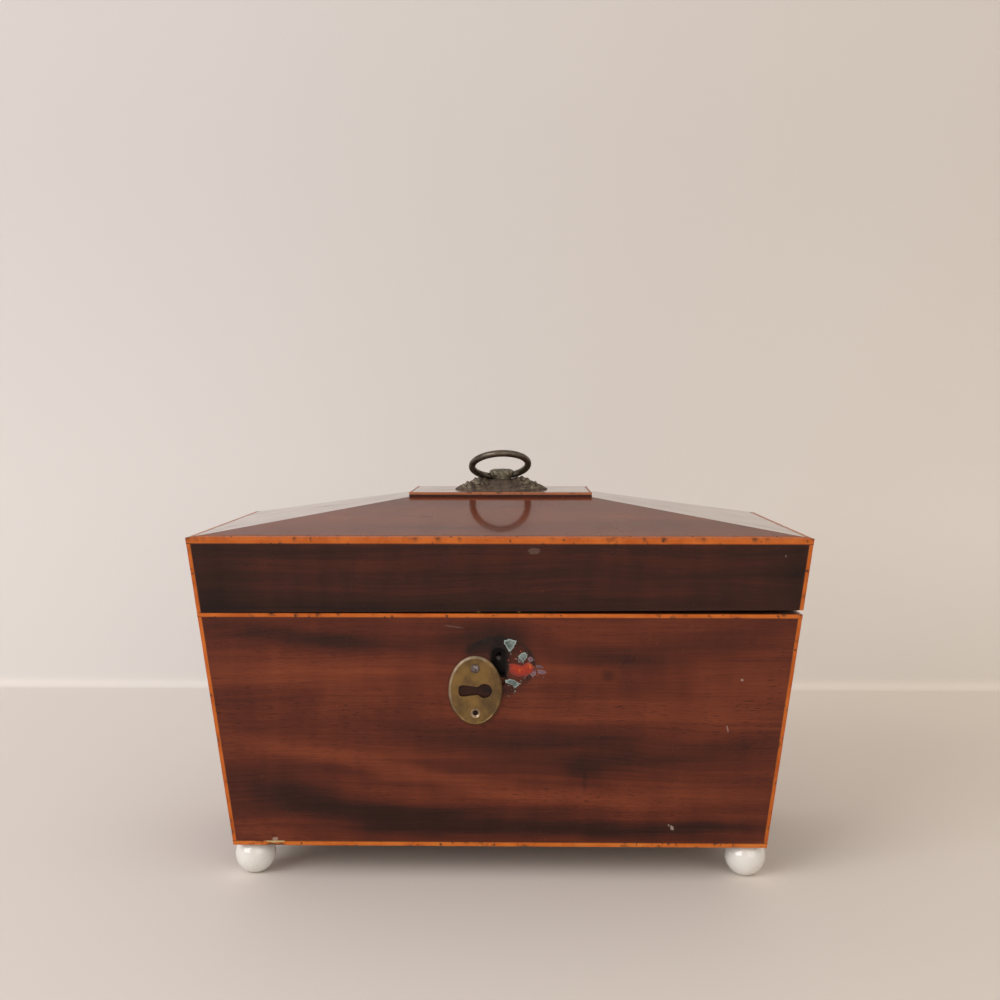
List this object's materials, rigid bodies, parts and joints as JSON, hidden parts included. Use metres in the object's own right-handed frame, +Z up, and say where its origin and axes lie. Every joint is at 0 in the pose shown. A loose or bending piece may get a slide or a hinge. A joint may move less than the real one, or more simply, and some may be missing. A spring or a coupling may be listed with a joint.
{
  "type": "tea caddy",
  "caption": "Tapered wooden tea caddy with a hipped hinged lid, pale edge strings, ring handle, loose oval keyhole plate, lock, lined tea compartments, glass bowl and white ball feet.",
  "frame": {"origin": "on the floor under the middle of the caddy, at the centre of its outline", "axes": "+X to the right along the front, +Y from the front to the hinged back, +Z up"},
  "size_m": [0.305, 0.165, 0.2172],
  "materials": {
    "mahogany": "French polished",
    "boxwood": "polished",
    "white_ceramic": "glazed",
    "bronze": "dark patina",
    "brass": "aged",
    "steel": "dull",
    "foil": "tarnished tin lining",
    "glass": "clear",
    "lining_paper": "aged marbled paper on board"
  },
  "bodies": {
    "body": {"base_board": "mahogany", "front_board": "mahogany", "back_board": "mahogany", "left_board": "mahogany", "right_board": "mahogany", "body_corner_strings": "boxwood", "body_rim_strings": "boxwood", "base_edge_strings": "boxwood", "foot_front_left": "white_ceramic", "foot_front_right": "white_ceramic", "foot_back_left": "white_ceramic", "foot_back_right": "white_ceramic", "foot_studs": "steel", "left_partition": "mahogany", "right_partition": "mahogany", "left_tea_liner": "foil", "right_tea_liner": "foil", "tea_lid_pins": "brass", "well_floor": "mahogany", "bowl_platform": "mahogany", "platform_ledges": "mahogany", "body_hinge_leaf_left": "brass", "body_hinge_leaf_right": "brass", "hinge_pin_left": "steel", "hinge_pin_right": "steel", "body_hinge_screws": "steel", "lock_plate": "brass", "lock_cap": "brass", "lock_spring": "steel", "lock_key_pin": "steel", "lock_screws": "steel", "escutcheon_screw": "brass"},
    "lid": {"lid_top_board": "mahogany", "lid_front_board": "mahogany", "lid_back_board": "mahogany", "lid_left_board": "mahogany", "lid_right_board": "mahogany", "plateau_panel": "mahogany", "lid_corner_strings": "boxwood", "lid_rim_strings": "boxwood", "plateau_strings": "boxwood", "lid_lining": "lining_paper", "handle_rosette": "bronze", "handle_post": "bronze", "handle_nut": "steel", "lid_hinge_leaf_left": "brass", "lid_hinge_leaf_right": "brass", "lid_hinge_screws": "steel", "hasp_plate": "brass", "hasp_screws": "steel"},
    "ring": {"handle_ring": "bronze"},
    "escutcheon": {"escutcheon_plate": "brass"},
    "bolt": {"lock_bolt": "brass"},
    "left_tea_lid": {"left_tea_lid": "mahogany", "left_tea_knob": "boxwood"},
    "right_tea_lid": {"right_tea_lid": "mahogany", "right_tea_knob": "boxwood"},
    "bowl": {"glass_bowl": "glass"}
  },
  "joints": [
    {"name": "lid_hinge", "type": "hinge", "parent": "body", "child": "lid", "pos_m": [0, 0.07596, 0.1387], "axis": [-1, 0, 0], "range_deg": [0, 100]},
    {"name": "ring_swing", "type": "hinge", "parent": "lid", "child": "ring", "pos_m": [0, 0, 0.202], "axis": [-0.9978, 0, -0.0663], "range_deg": [0, 127]},
    {"name": "escutcheon_swing", "type": "hinge", "parent": "body", "child": "escutcheon", "pos_m": [-0.01155, -0.07535, 0.1112], "axis": [0, -0.994, -0.1097], "range_deg": [-90, 90]},
    {"name": "lock_bolt_slide", "type": "slide", "parent": "body", "child": "bolt", "axis": [1, 0, 0], "range_m": [0, 0.005]},
    {"name": "left_tea_lid_hinge", "type": "hinge", "parent": "body", "child": "left_tea_lid", "pos_m": [-0.09, 0.06384, 0.1247], "axis": [-1, 0, 0], "range_deg": [0, 95]},
    {"name": "right_tea_lid_hinge", "type": "hinge", "parent": "body", "child": "right_tea_lid", "pos_m": [0.09, 0.06384, 0.1247], "axis": [-1, 0, 0], "range_deg": [0, 95]},
    {"name": "bowl_lift", "type": "slide", "parent": "body", "child": "bowl", "axis": [0, 0, 1], "range_m": [0, 0.092]}
  ],
  "couplings": [
    {"joint": "left_tea_lid_hinge", "follows": "lid_hinge", "ratio": 0.95},
    {"joint": "right_tea_lid_hinge", "follows": "lid_hinge", "ratio": 0.95},
    {"joint": "bowl_lift", "follows": "lid_hinge", "m_per_rad": 0.0525}
  ]
}
